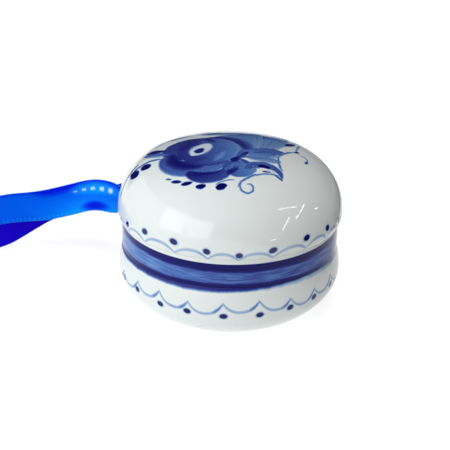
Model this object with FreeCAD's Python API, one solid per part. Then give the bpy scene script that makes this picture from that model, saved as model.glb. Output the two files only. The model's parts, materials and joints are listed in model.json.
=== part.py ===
import FreeCAD, Part
import math
import os

# A porcelain ornament in the shape of a macaron, lying on its foot, with a satin ribbon to hang it by.
# The frame: origin at the centre of the foot, on the surface it stands on; +Z up; +X to the right and +Y away,
# as seen from the front. Everything is in millimetres and degrees.

Vector = FreeCAD.Vector

# Porcelain: two shells with a recessed ring, the filling, between them.
shell_radius = 24.0  # both shells at their widest
groove_depth = 0.75  # how far the filling ring lies inside the shells
wall = 2.6  # cast thickness
foot_radius = 12.2  # flat that the lower shell stands on
foot_ring_width = 2.5  # the part of that flat that touches
foot_recess = 0.5  # hollow inside the foot ring
lower_rise = 9.6  # from the foot to the lower shell's widest ring
lower_side_radius = 7.2  # round of its side
lower_tuck = 4.7  # from its widest ring up to the filling
filling_height = 6.0
upper_tuck = 1.9  # from the filling up to the upper shell's widest ring
dome_rise = 14.0  # from there to the top
dome_shoulder_radius = 12.2  # round of its side

# Two holes through the filling, side by side, for the ribbon.
hole_diameter = 4.2
hole_spacing = 9.6
hole_azimuth = 147.0  # the way they point, from +X towards +Y

# Satin ribbon. Where it goes through a hole or into the knot it is gathered into a bundle.
ribbon_width = 7.0
ribbon_thickness = 0.4
bundle_height = 2.0
bundle_thickness = 1.4
gather_length = 9.0  # over which the flat ribbon narrows to the bundle
lip_gap = 0.35  # the swinging strands start this far outside the hole's mouth
bight_setback = 0.45  # and the bight behind them ends this far inside it
bight_depth = 3.2  # how far the bight stands off the ring's inner wall

# Overhand knot that ties the two ends together, and the ends beyond it.
knot_length = 7.0
knot_radius = 4.2
knot_rounding = 1.5
knot_reach = 58.0  # its near end, to the left of the middle between the holes' mouths
knot_aside = 4.0  # and behind it
strand_spacing = 2.0  # between the strands where they enter the knot
tail_slant = 3.0  # how far one edge of a cut end runs on past the other

# Heights that follow.
lower_widest_z = lower_rise
filling_bottom_z = lower_widest_z + lower_tuck
filling_top_z = filling_bottom_z + filling_height
upper_widest_z = filling_top_z + upper_tuck
top_z = upper_widest_z + dome_rise
hole_z = filling_bottom_z + filling_height / 2
knot_z = knot_radius + 0.1

# Radii that follow.
filling_radius = shell_radius - groove_depth
filling_inner_radius = filling_radius - wall

# The holes' frame: outward, and across from the near hole to the far one.
outward = Vector(math.cos(math.radians(hole_azimuth)), math.sin(math.radians(hole_azimuth)), 0)
across = Vector(outward.y, -outward.x, 0)
mouth_reach = math.sqrt(filling_radius**2 - (hole_spacing / 2) ** 2)
mouths_middle = outward * mouth_reach + Vector(0, 0, hole_z)

# Routes of the free ribbon, each point from the middle between the mouths in X and Y, and from the foot in Z.
near_route = [
    (-7.6, -1.2, 18.8),
    (-12.6, 1.6, 18.4),
    (-18.3, 3.5, 16.0),
    (-25.5, 4.7, 13.7),
    (-33.6, 5.7, 12.7),
    (-42.2, 5.6, 10.6),
    (-50.4, 4.2, 6.8),
]
far_route = [
    (-2.8, 7.6, 16.6),
    (-9.0, 11.3, 13.7),
    (-16.4, 14.2, 11.4),
    (-24.6, 15.0, 9.7),
    (-31.2, 12.9, 6.6),
    (-37.2, 9.2, 3.8),
    (-44.8, 7.4, 3.7),
    (-52.2, 6.0, 3.9),
]
long_tail_route = [(-70.4, 6.3, 4.0), (-77.0, 9.6, 3.7), (-83.0, 11.4, 3.8)]
short_tail_route = [(-70.2, 2.2, 4.0), (-76.0, -1.4, 3.7), (-80.4, -2.8, 3.8)]


def section_point(radius, height):
    """A point of a half section, which lies in the XZ plane."""
    return Vector(radius, 0, height)


def arc(start, middle, end):
    return Part.Arc(start, middle, end).toShape()


def line(start, end):
    return Part.LineSegment(start, end).toShape()


def round_side(widest, rise, side_radius, flat_radius, up, level, inset):
    """The edges of a shell's round side, from its widest ring to its flat or its top, as two arcs tangent to each other.
    The second arc is level where it meets flat_radius. inset moves both arcs inwards, for the inner wall."""
    reach = widest - side_radius - flat_radius
    cap_radius = (reach**2 + rise**2 - side_radius**2) / (2 * (rise - side_radius))
    turn = math.acos((cap_radius - rise) / (cap_radius - side_radius))
    side = side_radius - inset
    cap = cap_radius - inset

    def on_side(angle):
        return section_point(
            widest - side_radius + side * math.sin(angle), level + up * side * math.cos(angle)
        )

    def on_cap(angle):
        return section_point(
            flat_radius + cap * math.sin(angle), level + up * (rise - cap_radius + cap * math.cos(angle))
        )

    start = math.pi / 2
    side_arc = arc(on_side(start), on_side((start + turn) / 2), on_side(turn))
    cap_arc = arc(on_cap(turn), on_cap(turn / 2), on_cap(0))
    return [side_arc, cap_arc]


def tuck(height, up, level):
    """The outer edge from a shell's widest ring in to the filling, upright where it leaves the ring."""
    radius = (groove_depth**2 + height**2) / (2 * groove_depth)
    half_turn = math.asin(height / radius) / 2
    middle = section_point(
        shell_radius - radius * (1 - math.cos(half_turn)), level - up * radius * math.sin(half_turn)
    )
    return arc(
        section_point(filling_radius, level - up * height), middle, section_point(shell_radius, level)
    )


def revolved(edges):
    """The solid of a closed half section turned about the axis."""
    wire = Part.Wire(Part.__sortEdges__(edges))
    solid = Part.Face(wire).revolve(Vector(0, 0, 0), Vector(0, 0, 1), 360)
    return solid if solid.ShapeType == "Solid" else solid.Solids[0]


def upper_shell():
    """The hollow dome. Its rim is a flat ring that sits on the filling."""
    outer = round_side(shell_radius, dome_rise, dome_shoulder_radius, 0, 1, upper_widest_z, 0)
    inner = round_side(shell_radius, dome_rise, dome_shoulder_radius, 0, 1, upper_widest_z, wall)
    rim_inner = section_point(filling_inner_radius, filling_top_z)
    edges = [
        tuck(upper_tuck, 1, upper_widest_z),
        *outer,
        line(section_point(0, top_z), section_point(0, top_z - wall)),
        *inner,
        line(section_point(shell_radius - wall, upper_widest_z), rim_inner),
        line(rim_inner, section_point(filling_radius, filling_top_z)),
    ]
    return revolved(edges)


def lower_shell():
    """The hollow cup below. It stands on a flat ring round a shallow recess."""
    side = (shell_radius, lower_rise, lower_side_radius, foot_radius, -1, lower_widest_z)
    rim_inner = section_point(filling_inner_radius, filling_bottom_z)
    recess_radius = foot_radius - foot_ring_width
    edges = [
        tuck(lower_tuck, -1, lower_widest_z),
        *round_side(*side, 0),
        line(section_point(foot_radius, 0), section_point(recess_radius, 0)),
        line(section_point(recess_radius, 0), section_point(recess_radius - foot_recess, foot_recess)),
        line(section_point(recess_radius - foot_recess, foot_recess), section_point(0, foot_recess)),
        line(section_point(0, foot_recess), section_point(0, wall)),
        line(section_point(0, wall), section_point(foot_radius, wall)),
        *round_side(*side, wall),
        line(section_point(shell_radius - wall, lower_widest_z), rim_inner),
        line(rim_inner, section_point(filling_radius, filling_bottom_z)),
    ]
    return revolved(edges)


def filling_ring():
    """The recessed ring between the shells, with the two ribbon holes."""
    base = Vector(0, 0, filling_bottom_z)
    ring = Part.makeCylinder(filling_radius, filling_height, base)
    ring = ring.cut(Part.makeCylinder(filling_inner_radius, filling_height, base))
    for side in (-1, 1):
        start = across * (side * hole_spacing / 2) + Vector(0, 0, hole_z)
        ring = ring.cut(Part.makeCylinder(hole_diameter / 2, shell_radius, start, outward))
    return ring.Solids[0]


def rounded_route(points):
    """Places and directions along straight runs that are joined by tangent arcs, each as large as its runs allow.
    Returns them with the smallest arc's radius."""
    stations = [(points[0], (points[1] - points[0]).normalize())]
    radii = []
    for before, corner, after in zip(points, points[1:], points[2:]):
        back = before - corner
        ahead = after - corner
        set_back = 0.45 * min(back.Length, ahead.Length)
        turn = math.pi - back.getAngle(ahead)
        radii.append(set_back / math.tan(turn / 2))
        way_in = -Vector(back).normalize()
        way_out = Vector(ahead).normalize()
        to_centre = (way_out - way_in).normalize()
        crown = corner + to_centre * (radii[-1] * (1 / math.cos(turn / 2) - 1))
        stations.append((corner - way_in * set_back, way_in))
        stations.append((crown, (way_in + way_out).normalize()))
        stations.append((corner + way_out * set_back, way_out))
    stations.append((points[-1], (points[-1] - points[-2]).normalize()))
    return stations, min(radii)


def ribbon_strip(name, points, gathered_ends, slant=0.0):
    """A strip of ribbon on its edge along a route, gathered into a bundle at the ends that are named."""
    stations, tightest = rounded_route(points)
    travelled = [0.0]
    for (here, _), (there, _) in zip(stations, stations[1:]):
        travelled.append(travelled[-1] + (there - here).Length)
    length = travelled[-1]
    wires = []
    expected = 0.0
    areas = []
    for (place, way), at in zip(stations, travelled):
        distances = {"start": at, "end": length - at}
        near = min([distances[end] for end in gathered_ends] + [gather_length])
        share = near / gather_length
        height = bundle_height + (ribbon_width - bundle_height) * share
        thickness = bundle_thickness + (ribbon_thickness - bundle_thickness) * share
        sideways = way.cross(Vector(0, 0, 1)).normalize() * (thickness / 2)
        upright = sideways.cross(way).normalize() * (height / 2)
        run_on = way * (slant if at == length else 0.0)
        corners = [
            place - sideways - upright,
            place + sideways - upright,
            place + sideways + upright + run_on,
            place - sideways + upright + run_on,
        ]
        wires.append(Part.makePolygon([*corners, corners[0]]))
        areas.append(height * thickness)
    for first, second, start, end in zip(areas, areas[1:], travelled, travelled[1:]):
        expected += (first + second) / 2 * (end - start)
    solid = Part.makeLoft(wires, True, True)
    print(
        f"{name}: {length:.1f} mm long, tightest arc {tightest:.1f} mm, "
        f"volume {solid.Volume:.1f} mm3 for about {expected:.1f} expected"
    )
    return solid


def at_offset(offset):
    """A route's point in the part's frame."""
    x, y, z = offset
    return Vector(mouths_middle.x + x, mouths_middle.y + y, z)


def strand(name, side, route):
    """One side of the hanging loop, from its hole to the knot."""
    start = mouths_middle + outward * lip_gap + across * (side * hole_spacing / 2)
    knot_entry = at_offset((-knot_reach, knot_aside + side * strand_spacing / 2, knot_z))
    points = [start, *[at_offset(offset) for offset in route], knot_entry]
    return ribbon_strip(name, points, ("start", "end"))


def tail(name, side, route):
    """A cut end of the ribbon, from the knot outwards."""
    start = at_offset((-knot_reach - knot_length, knot_aside + side * strand_spacing / 2, knot_z))
    points = [start, *[at_offset(offset) for offset in route]]
    return ribbon_strip(name, points, ("start",), tail_slant)


def ribbon_bight():
    """The gathered stretch inside the ring that joins the two strands behind the bridge between the holes."""
    half = hole_spacing / 2
    level = Vector(0, 0, hole_z)
    ends_at = mouth_reach - bight_setback
    bend_at = math.sqrt(filling_inner_radius**2 - half**2) - bight_depth

    def spot(reach, aside):
        return outward * reach + across * aside + level

    path = Part.Wire(
        [
            line(spot(ends_at, -half), spot(bend_at, -half)),
            arc(spot(bend_at, -half), spot(bend_at - half, 0), spot(bend_at, half)),
            line(spot(bend_at, half), spot(ends_at, half)),
        ]
    )
    aside = across * (bundle_thickness / 2)
    upright = Vector(0, 0, bundle_height / 2)
    middle = spot(ends_at, -half)
    corners = [middle - aside - upright, middle + aside - upright, middle + aside + upright, middle - aside + upright]
    return path.makePipeShell([Part.makePolygon([*corners, corners[0]])], True, True).Solids[0]


def ribbon_knot():
    """The knot as a barrel with rounded ends, where the strands go in and the tails come out."""
    start = at_offset((-knot_reach, knot_aside, knot_z))
    barrel = Part.makeCylinder(knot_radius, knot_length, start, Vector(-1, 0, 0))
    rims = [edge for edge in barrel.Edges if len(edge.Vertexes) == 1]
    return barrel.makeFillet(knot_rounding, rims)


def main():
    nodes = {
        "upper_shell": upper_shell(),
        "filling_ring": filling_ring(),
        "lower_shell": lower_shell(),
        "ribbon_bight": ribbon_bight(),
        "ribbon_near_strand": strand("ribbon_near_strand", -1, near_route),
        "ribbon_far_strand": strand("ribbon_far_strand", 1, far_route),
        "ribbon_knot": ribbon_knot(),
        "ribbon_long_tail": tail("ribbon_long_tail", 1, long_tail_route),
        "ribbon_short_tail": tail("ribbon_short_tail", -1, short_tail_route),
    }
    os.makedirs("parts", exist_ok=True)
    for name, shape in nodes.items():
        shape.exportStep(f"parts/{name}.step")
        print(f"{name}: valid {shape.isValid()}, {len(shape.Solids)} solid, volume {shape.Volume:.1f} mm3")
    pivot = mouths_middle + outward * lip_gap
    print(f"swing axis through {tuple(round(x, 4) for x in pivot)} along {tuple(round(x, 6) for x in across)}")


main()
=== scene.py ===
# %% [markdown]
# # A porcelain macaron with a ribbon
#
# The ornament is three porcelain castings, painted by hand in cobalt under a clear glaze, and a satin ribbon. The
# castings are turned shapes, so they come from the packed frame as they are and only get their painting, as node
# materials. The ribbon's plain solids are replaced by a woven strip that follows the same route, because a plain
# loft shows neither weave nor pleats.

# %% The packed frame
import json
import math

import bmesh
import bpy
import numpy as np
from mathutils import Matrix, Quaternion, Vector


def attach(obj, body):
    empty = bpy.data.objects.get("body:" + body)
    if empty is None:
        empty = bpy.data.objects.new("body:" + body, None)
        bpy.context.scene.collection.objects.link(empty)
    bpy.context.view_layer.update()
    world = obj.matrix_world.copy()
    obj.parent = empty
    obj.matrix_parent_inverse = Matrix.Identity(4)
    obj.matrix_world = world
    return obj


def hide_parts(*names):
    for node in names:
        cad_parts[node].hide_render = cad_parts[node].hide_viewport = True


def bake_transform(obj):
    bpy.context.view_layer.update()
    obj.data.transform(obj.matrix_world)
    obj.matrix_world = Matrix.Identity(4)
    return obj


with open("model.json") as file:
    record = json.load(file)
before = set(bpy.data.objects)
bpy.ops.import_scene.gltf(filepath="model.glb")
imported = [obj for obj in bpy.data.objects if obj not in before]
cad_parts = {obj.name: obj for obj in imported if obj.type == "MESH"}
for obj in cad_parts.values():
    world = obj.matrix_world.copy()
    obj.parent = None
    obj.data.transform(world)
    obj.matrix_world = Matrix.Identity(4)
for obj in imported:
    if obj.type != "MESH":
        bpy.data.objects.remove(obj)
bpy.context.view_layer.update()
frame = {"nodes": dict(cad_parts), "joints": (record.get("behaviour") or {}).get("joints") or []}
MM = 0.001
print("frame:", sorted(frame["nodes"]))

# %% [markdown]
# ## Camera
#
# The picture was taken from a little under 25 degrees above the table, with the frame turned by about one degree. A
# camera can be placed by eye, but then no stroke of the painting would fall where it should. So its height, its
# distance and its lens were fitted to the outline of the body, and are only written down here.

# %% The camera's place and lens
ELEVATION = math.radians(23.994)
ROLL = math.radians(1.046)
DISTANCE = 0.19776
LENS, SENSOR = 72.99, 36.0
PICTURE = 450
SHIFT_X, SHIFT_Y = -4.89 / PICTURE, -2.4 / PICTURE
NEAREST_SEEN = 0.01
AIM = Vector((0, 0, 0.018))


def put(name, data):
    """An object in the scene that carries a camera, a mesh or a lamp."""
    made = bpy.data.objects.new(name, data)
    bpy.context.scene.collection.objects.link(made)
    return made


camera = put("camera", bpy.data.cameras.new("camera"))
camera.data.lens = LENS
camera.data.sensor_width = SENSOR
camera.data.shift_x = SHIFT_X
camera.data.shift_y = SHIFT_Y
camera.data.clip_start = NEAREST_SEEN
sight = Vector((0, math.cos(ELEVATION), -math.sin(ELEVATION)))
camera.location = AIM - sight * DISTANCE
camera.rotation_mode = "QUATERNION"
camera.rotation_quaternion = sight.to_track_quat("-Z", "Y") @ Quaternion((0, 0, 1), ROLL)
bpy.context.scene.camera = camera
bpy.context.scene.view_settings.view_transform = "Standard"
print("camera at", tuple(round(c, 4) for c in camera.location))

# %% [markdown]
# ## Shader arithmetic
#
# A painted shape is a formula of the place on the surface. It could be wired up by hand, one Math node for each sum,
# but a long formula is hard to read as wires. Here a Field wraps one socket of a node tree instead: adding,
# multiplying or comparing fields adds Math nodes, and any other node is added by its one method for that.


# %% Values in a node tree
class Field:
    """A value in a material's node tree."""

    def __init__(self, tree, socket):
        self.tree = tree
        self.socket = socket

    def node(self, kind, output=0, settings=None, **inputs):
        """Any node of this tree, with values or fields put into its named inputs. Gives one output as a field."""
        made = self.tree.nodes.new("ShaderNode" + kind)
        for name, value in (settings or {}).items():
            setattr(made, name, value)
        for name, value in inputs.items():
            socket = made.inputs[int(name[1:])] if name[0] == "_" else made.inputs[name.replace("_", " ")]
            if isinstance(value, Field):
                self.tree.links.new(value.socket, socket)
            else:
                socket.default_value = value
        return Field(self.tree, made.outputs[output])

    def math(self, operation, *others, clamp=False):
        inputs = {f"_{i + 1}": other for i, other in enumerate(others)}
        return self.node("Math", 0, {"operation": operation, "use_clamp": clamp}, _0=self, **inputs)

    def __add__(self, other):
        return self.math("ADD", other)

    __radd__ = __add__

    def __mul__(self, other):
        return self.math("MULTIPLY", other)

    __rmul__ = __mul__

    def __sub__(self, other):
        return self.math("SUBTRACT", other)

    def __rsub__(self, other):
        return self.fused(-1.0, other)

    def __truediv__(self, other):
        return self.math("DIVIDE", other)

    def __pow__(self, other):
        return self.math("POWER", other)

    def __abs__(self):
        return self.math("ABSOLUTE")

    def fused(self, factor, term):
        """self * factor + term in one node."""
        return self.math("MULTIPLY_ADD", factor, term)

    def at_least(self, other):
        return self.math("MAXIMUM", other)

    def step(self, edge, softness):
        """0 below the edge and 1 above it, over the softness."""
        return self.math("MULTIPLY_ADD", 1 / softness, 0.5 - edge / softness, clamp=True)

    def over(self, below, cover):
        """This field laid over another where cover is 1."""
        return (self - below).math("MULTIPLY_ADD", cover, below)

    def noise(self, detail=2.0):
        """Noise of a vector field, from 0 to 1."""
        return self.node("TexNoise", 0, Vector=self, Scale=1.0, Detail=detail)


print("a field has", sum(not name.startswith("__") for name in vars(Field)), "methods beside its operators")

# %% A new material and the place on its surface


def vector(x, y, z):
    """Three fields or numbers, at least one of them a field, as one vector."""
    some = next(value for value in (x, y, z) if isinstance(value, Field))
    return some.node("CombineXYZ", 0, X=x, Y=y, Z=z)


def new_material(name):
    """An empty node material and its Principled shader."""
    material = bpy.data.materials.new(name)
    material.use_nodes = True
    shader = material.node_tree.nodes["Principled BSDF"]
    return material, material.node_tree, shader


def place(tree):
    """The surface's place in millimetres, as three fields."""
    coordinates = tree.nodes.new("ShaderNodeTexCoord")
    split = tree.nodes.new("ShaderNodeSeparateXYZ")
    tree.links.new(coordinates.outputs["Object"], split.inputs[0])
    return [Field(tree, socket) * (1 / MM) for socket in split.outputs]


def feed(field, shader, name):
    """Links a field to one of the shader's sockets."""
    field.tree.links.new(field.socket, shader.inputs[name])


print("materials before painting:", len(bpy.data.materials))

# %% [markdown]
# ## Brushwork
#
# Cobalt is one pigment, and a pale wash and a near-black line differ only in how much of it lies on the clay. The
# painting could be a picture wrapped on the dome, but a formula stays sharp at any size. So it is one field, the load
# of pigment. A stroke has a mask and a load that runs from its dark edge to its pale one, with the streaks that the
# bristles leave. Each is laid over what is there, or added to it, by one node group that is used again and again.

# %% What a stroke is given
FRAME = ("X", "Y", "Below", "AtX", "AtY", "Cos", "Sin", "Half", "Wide", "Bend", "Radius", "Grow")
STYLE = {
    "Load": 1.0,
    "Across": 0.0,
    "Along": 0.0,
    "Streak": 0.12,
    "Blunt": 0.5,
    "Taper": 0.0,
    "Soft": 0.4,
    "Keep": 1.0,
    "Seed": 0.0,
}
print("a stroke is given", len(FRAME) + len(STYLE), "values")

# %% One stroke as a node group
CHAIN = 1e-9
SPREAD = 1.06
BRISTLES_ALONG, BRISTLES_ACROSS = 1.4, 2.6


def touch_group(name, arc):
    """A node group that lays one stroke over the pigment below it, along a line or along an arc. In it u runs from
    the root to the tip and v from side to side, both from -1 to 1."""
    tree = bpy.data.node_groups.new(name, "ShaderNodeTree")
    for label in (*FRAME, *STYLE):
        tree.interface.new_socket(label, in_out="INPUT", socket_type="NodeSocketFloat")
    tree.interface.new_socket("Above", in_out="OUTPUT", socket_type="NodeSocketFloat")
    source = tree.nodes.new("NodeGroupInput")
    get = {label: Field(tree, source.outputs[label]) for label in (*FRAME, *STYLE)}
    # The pigment below shifts the place by less than an atom, so strokes are worked out one after another.
    dx, dy = (get["Below"].fused(CHAIN, get[axis]) - get["At" + axis] for axis in "XY")
    ahead = dx.fused(get["Cos"], dy * get["Sin"])
    aside = dy * get["Cos"] - dx * get["Sin"]
    if arc:
        u = aside.math("ARCTAN2", ahead) / get["Half"]
        reach = (ahead * ahead + aside * aside).math("SQRT") - u * get["Grow"]
        v = (reach - get["Radius"]) / get["Wide"]
    else:
        u = ahead / get["Half"]
        v = (u * u).fused(get["Bend"], aside) / get["Wide"]
    swell = (1.0 - u * u).at_least(0.0) ** get["Blunt"] * u.fused(get["Taper"], 1.0)
    cover = ((swell * SPREAD - abs(v)) * get["Wide"]).math("DIVIDE", get["Soft"], clamp=True)
    grain = vector(u * BRISTLES_ALONG, v * get["Wide"] * BRISTLES_ACROSS, get["Seed"]).noise(3.0)
    paint = v.fused(get["Across"], get["Load"]) + u * get["Along"]
    paint = (grain - 0.5).fused(get["Streak"] * 2.0, paint).at_least(0.0)
    above = (paint - get["Below"] * get["Keep"]).fused(cover, get["Below"])
    target = tree.nodes.new("NodeGroupOutput")
    tree.links.new(above.socket, target.inputs["Above"])
    return tree


straight_touch = touch_group("touch", arc=False)
curved_touch = touch_group("curved touch", arc=True)
print("a straight stroke takes", len(straight_touch.nodes), "nodes, a curved one", len(curved_touch.nodes))

# %% The brush
SEED_STEP = 7.3


class Brush:
    """Paints strokes one over another on a plane of millimetres."""

    def __init__(self, x, y):
        self.x = x
        self.y = y
        self.load = x * 0.0
        self.count = 0

    def lay(self, group, at, turn, half, wide, load, add=False, **style):
        """One stroke more. add deepens what lies below it in place of covering it."""
        self.count += 1
        given = {**STYLE, **{name.capitalize(): value for name, value in style.items()}}
        given.update(AtX=at[0], AtY=at[1], Cos=math.cos(turn), Sin=math.sin(turn), Half=half, Wide=wide, Load=load)
        given.update(X=self.x, Y=self.y, Below=self.load, Keep=0.0 if add else 1.0, Seed=self.count * SEED_STEP)
        self.load = self.x.node("Group", 0, {"node_tree": group}, **given)

    def stroke(self, at, turn, half, wide, load, **style):
        """A straight or gently bent stroke. bend is how far its ends fall to its right."""
        self.lay(straight_touch, at, math.radians(turn), half, wide, load, **style)

    def line(self, start, end, wide, load, bend=0.0, **style):
        """A stroke given by its two ends."""
        way = (end[0] - start[0], end[1] - start[1])
        turn = math.atan2(way[1], way[0])
        at = ((start[0] + end[0]) / 2 - bend * math.sin(turn), (start[1] + end[1]) / 2 + bend * math.cos(turn))
        self.lay(straight_touch, at, turn, math.hypot(*way) / 2, wide, load, bend=bend, **style)

    def arc(self, centre, radius, start, end, wide, load, **style):
        """A stroke along an arc, from start to end in degrees. grow widens the arc's radius towards its end."""
        middle, half = math.radians((start + end) / 2), math.radians((end - start) / 2)
        self.lay(curved_touch, centre, middle, half, wide, load, radius=radius, **style)


print("the brush makes", [name for name in vars(Brush) if name in ("stroke", "line", "arc")])

# %% [markdown]
# ## Pigment and glaze
#
# The porcelain is a cool white clay. Cobalt that is fired under the glaze acts like a coloured filter, so its colour is
# the clay's, dimmed by an exponential of the load, and not a mix of two paints. The glaze itself is a clear gloss. It
# was poured and fired, and is never quite level, so a weak Bump gives it slow waves.

# %% Cobalt on clay
CLAY = (0.83, 0.885, 0.875)
COAT = (-2.3, -1.5, -0.5)  # how a coat dims red, green and blue
THICK_COAT, DEEP_COAT = (-0.72, -0.42), (-1.1, -0.25)  # what thicker coats add to that, for green and blue


def cobalt(load):
    """The clay's colour under that much cobalt. It dims red most and blue least, and a thick coat turns violet."""
    thick = load.step(1.2, 0.45)
    depth = (load - 1.35).at_least(0.0)
    red = load * COAT[0]
    green = load.fused(COAT[1], thick * THICK_COAT[0]) + depth * DEEP_COAT[0]
    blue = load.fused(COAT[2], thick * THICK_COAT[1]) + depth * DEEP_COAT[1]
    channels = [dim.math("EXPONENT") * c for dim, c in zip((red, green, blue), CLAY)]
    return load.node("CombineColor", 0, Red=channels[0], Green=channels[1], Blue=channels[2])


print("one coat leaves", [round(c * math.exp(dim), 3) for c, dim in zip(CLAY, COAT)], "of the light")

# %% Glaze and specks
GLAZE_ROUGHNESS, GLAZE_IOR, FULL_GLOSS = 0.02, 1.5, 0.5
WAVES, WAVE_STRENGTH, WAVE_HEIGHT = 0.14, 0.1, 0.0012
SPECK_SPREAD, SPECK_SIZE, SPECK_LOAD = 0.11, 0.012, 0.55


def glaze(x, y, z, shader, gloss=FULL_GLOSS):
    """A clear gloss over the painting, with the slow waves of a dipped glaze."""
    wave = vector(x * WAVES, y * WAVES, z * WAVES).noise(1.0)
    bump = wave.node("Bump", 0, Strength=WAVE_STRENGTH, Distance=WAVE_HEIGHT, Height=wave)
    feed(bump, shader, "Normal")
    shader.inputs["Roughness"].default_value = GLAZE_ROUGHNESS
    shader.inputs["IOR"].default_value = GLAZE_IOR
    shader.inputs["Specular IOR Level"].default_value = gloss


def specks(x, y, z):
    """A few pin specks that fired into the clay."""
    at = vector(x * SPECK_SPREAD, y * SPECK_SPREAD, z * SPECK_SPREAD)
    cells = x.node("TexVoronoi", 0, Vector=at, Scale=1.0)
    return (SPECK_SIZE - cells).math("MULTIPLY", 160.0, clamp=True) * SPECK_LOAD


print("a wave of the glaze is about", round(1 / WAVES, 1), "mm long")

# %% [markdown]
# ## The borders
#
# A scalloped line with a dot at each cusp runs round both shells. Each scallop could be a stroke of its own, but they
# repeat, so one formula of the azimuth draws them all: phase counts the scallops, and its nearest whole number tells
# which cusp this is. The border was drawn freehand, so slow swings make its steps uneven and chance moves each dot.

# %% Scallops and dots
SCALLOPS = 22
BODY_RADIUS = 24.0
LINE_HALF_WIDTH, LINE_SOFTNESS = 0.26, 0.42
DOT_HALF_WIDTH, DOT_HALF_HEIGHT, DOT_LOAD = 0.74, 0.6, 2.7


def swing(azimuth, times, middle, reach):
    """A slow wave round the body, highest at an azimuth in degrees."""
    return azimuth.fused(times, math.radians(-times * middle)).math("COSINE") * reach


def border(z, phase, line_z, rise, dot_z, seed, pale, pressed):
    """The pigment of a scalloped line and its dots, given as fields of the azimuth. rise is the height of each arch
    over its cusps, pale the load of the line and pressed how far the brush was leant on beside a cusp."""
    nearest = phase.fused(1.0, 0.5).math("FLOOR")
    chance = nearest.node("TexWhiteNoise", 0, {"noise_dimensions": "1D"}, W=nearest + seed * 13.0)
    aside = phase - nearest
    rest = (abs(aside).fused(-2.0, 1.0)).at_least(0.0)
    arch = 1.0 - rest**2.4
    off_line = abs(z - arch.fused(rise, line_z))
    tick = aside.fused(-3.2 * pressed, 0.0).at_least(0.0) * (abs(aside).fused(-3.2, 1.0)).at_least(0.0)
    thick = tick.fused(0.4, LINE_HALF_WIDTH)
    line = (thick - off_line).math("MULTIPLY_ADD", 1 / LINE_SOFTNESS, 0.5, clamp=True)
    grain = vector(phase * 1.7, seed, 0.0).noise(2.0)
    line_load = tick.fused(1.6, pale) + (grain - 0.5) * 0.4
    dot_x = aside * (2 * math.pi * BODY_RADIUS / SCALLOPS) + chance.fused(0.5, -0.25)
    dot_y = z - (chance.fused(0.4, -0.2) + dot_z)
    away = (dot_x * dot_x * (1 / DOT_HALF_WIDTH**2) + dot_y * dot_y * (1 / DOT_HALF_HEIGHT**2)).math("SQRT")
    halo = (1.6 - away).math("MULTIPLY", 1.4, clamp=True) * 0.34
    dot = (1.0 - away).math("MULTIPLY_ADD", 2.3, 0.3, clamp=True)
    load = (line * line_load).at_least(halo)
    return (dot * 0.0 + DOT_LOAD).over(load, dot)


print("a scallop is", round(2 * math.pi * BODY_RADIUS / SCALLOPS, 2), "mm long")

# %% [markdown]
# ## The rose
#
# The bloom, its leaves and its curls lie on the dome as seen from above, so the painting is laid out on the dome's x
# and y. A rose has no rule that a formula could follow, and is painted as a painter does it: each line below is one
# touch of the brush, with its place, its turn, its half length and half width, and its load. The far petals come
# first and the dots last. A slow ripple shifts the place a little, so that no edge looks ruled.

# %% The dome's material and a fresh brush
upper_material, tree, shader = new_material("upper_porcelain")
x, y, z = place(tree)
ripple = vector(x * 0.5, y * 0.5, 4.0).noise(2.0) - 0.5
brush = Brush(ripple.fused(0.7, x), ripple.fused(-0.7, y))
print("the brush starts with", brush.count, "touches")

# %% [markdown]
# ### The far petals
#
# The petals behind the bloom are broad pale washes, and the back of the wreath is a few touches of the same kind. They
# could be one shape, but single touches keep their streaks. They go down first, as the bloom overlaps them.

# %% Far petals and the back of the wreath
brush.stroke((-6.1, 9.6), 20, 2.2, 1.5, 1.7, streak=0.3, soft=0.9)
brush.stroke((-10.5, 8.0), 25, 3.6, 1.2, 0.7, streak=0.4, soft=0.9)
brush.stroke((-2.2, 8.2), 8, 4.4, 2.0, 0.85, across=0.2, streak=0.3, soft=0.9)
brush.stroke((-15.5, 5.6), 40, 3.0, 0.9, 0.7, streak=0.3, soft=0.7)
brush.stroke((8.9, 4.2), 74, 8.4, 2.9, 0.76, across=0.1, along=0.2, streak=0.26, soft=0.7)
brush.stroke((6.9, 6.4), 86, 2.2, 0.5, 1.2, soft=0.5)
brush.line((4.0, 10.6), (11.6, 8.0), 1.0, 1.25, bend=0.3, streak=0.3, soft=0.9)
brush.stroke((3.6, 3.4), 84, 8.4, 3.2, 0.8, across=0.22, along=0.1, streak=0.14, soft=0.6)
brush.line((5.5, 2.6), (5.3, 8.4), 0.2, 1.1, soft=0.3)
brush.line((0.4, 11.0), (4.4, 9.6), 1.1, 1.1, streak=0.3, soft=0.9)
brush.stroke((-1.5, 14.0), 70, 3.2, 1.6, 1.0, across=0.2, streak=0.2)
brush.stroke((3.5, 15.5), 40, 3.4, 1.5, 0.8, across=0.2, streak=0.2)
brush.stroke((-6.5, 14.5), 120, 3.2, 1.4, 0.9, across=0.2, streak=0.2)
brush.arc((-1.0, 13.0), 5.2, 20, 160, 0.22, 0.7, streak=0.0, soft=0.3)
brush.stroke((0.8, 5.3), 17, 5.0, 1.9, 0.86, across=0.2, streak=0.24, soft=0.8)
print("touches so far:", brush.count)

# %% [markdown]
# ### The bloom
#
# The painter loads one side of the brush and turns it, which leaves a crescent that is dark at one edge. So the petals
# are arcs whose load runs across the stroke: the dark left petal, the two behind, and the crescents below. The round
# heart and its white eye come last. Touches with add deepen what is there, as a second coat does.

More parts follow.
